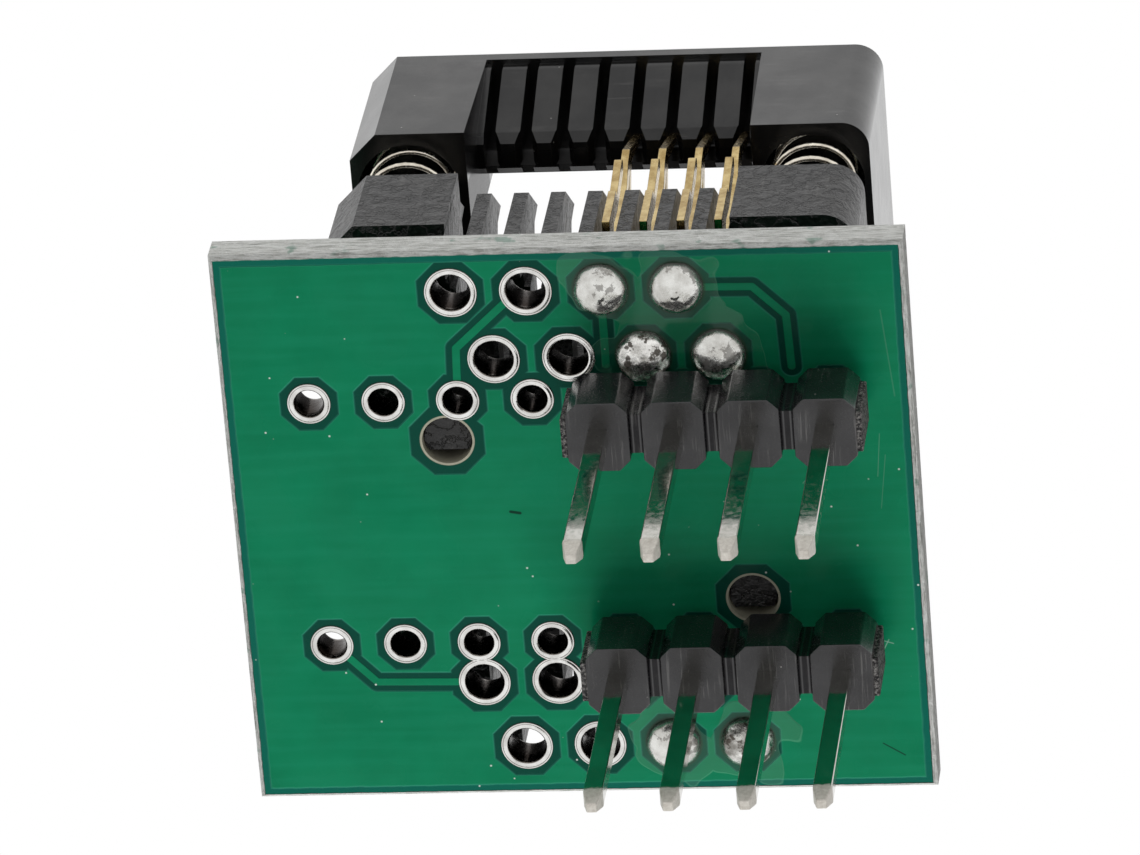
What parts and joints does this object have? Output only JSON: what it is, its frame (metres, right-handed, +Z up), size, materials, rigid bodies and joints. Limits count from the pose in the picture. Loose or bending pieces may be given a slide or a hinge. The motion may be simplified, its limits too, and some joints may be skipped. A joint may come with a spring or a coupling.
{
  "type": "ic socket adapter",
  "caption": "Adapter board with an open-top test socket for a small-outline package above, pressed open by its sprung cover, and two rows of header pins below.",
  "frame": {"origin": "centre of the eight header pins, on the headers' lower face", "axes": "+X along the rows of positions towards the headers' end, +Z up from the pins to the socket's cover, -Y towards the socket side that the picture shows"},
  "size_m": [0.0235, 0.0207, 0.0283],
  "materials": {
    "board": "gloss green solder mask on glass fibre",
    "base_moulding": "spark-textured black",
    "cover_moulding": "satin black",
    "header_plastic": "satin black",
    "pin_tin": "tin plated, bright",
    "contact_gold": "gold plated",
    "spring_wire": "bright drawn wire",
    "solder": "bright to dull tin solder"
  },
  "bodies": {
    "adapter": {"board": "board", "socket_base": "base_moulding", "header_front": "header_plastic", "header_rear": "header_plastic", "pin_front_1": "pin_tin", "contact_front_1": "contact_gold", "pin_solder_front_1": "solder", "tail_solder_front_1": "solder", "pin_front_2": "pin_tin", "contact_front_2": "contact_gold", "pin_solder_front_2": "solder", "tail_solder_front_2": "solder", "pin_front_3": "pin_tin", "contact_front_3": "contact_gold", "pin_solder_front_3": "solder", "tail_solder_front_3": "solder", "pin_front_4": "pin_tin", "contact_front_4": "contact_gold", "pin_solder_front_4": "solder", "tail_solder_front_4": "solder", "pin_rear_1": "pin_tin", "contact_rear_1": "contact_gold", "pin_solder_rear_1": "solder", "tail_solder_rear_1": "solder", "pin_rear_2": "pin_tin", "contact_rear_2": "contact_gold", "pin_solder_rear_2": "solder", "tail_solder_rear_2": "solder", "pin_rear_3": "pin_tin", "contact_rear_3": "contact_gold", "pin_solder_rear_3": "solder", "tail_solder_rear_3": "solder", "pin_rear_4": "pin_tin", "contact_rear_4": "contact_gold", "pin_solder_rear_4": "solder", "tail_solder_rear_4": "solder", "spring_front_left": "spring_wire", "spring_front_right": "spring_wire", "spring_rear_left": "spring_wire", "spring_rear_right": "spring_wire"},
    "cover": {"cover": "cover_moulding"}
  },
  "joints": [
    {"name": "cover_press", "type": "slide", "parent": "adapter", "child": "cover", "axis": [0, 0, -1], "range_m": [0, 0.0025], "stiffness_N_per_m": 600, "springref_m": -0.004, "deforming": ["spring_front_left", "spring_front_right", "spring_rear_left", "spring_rear_right"]}
  ]
}
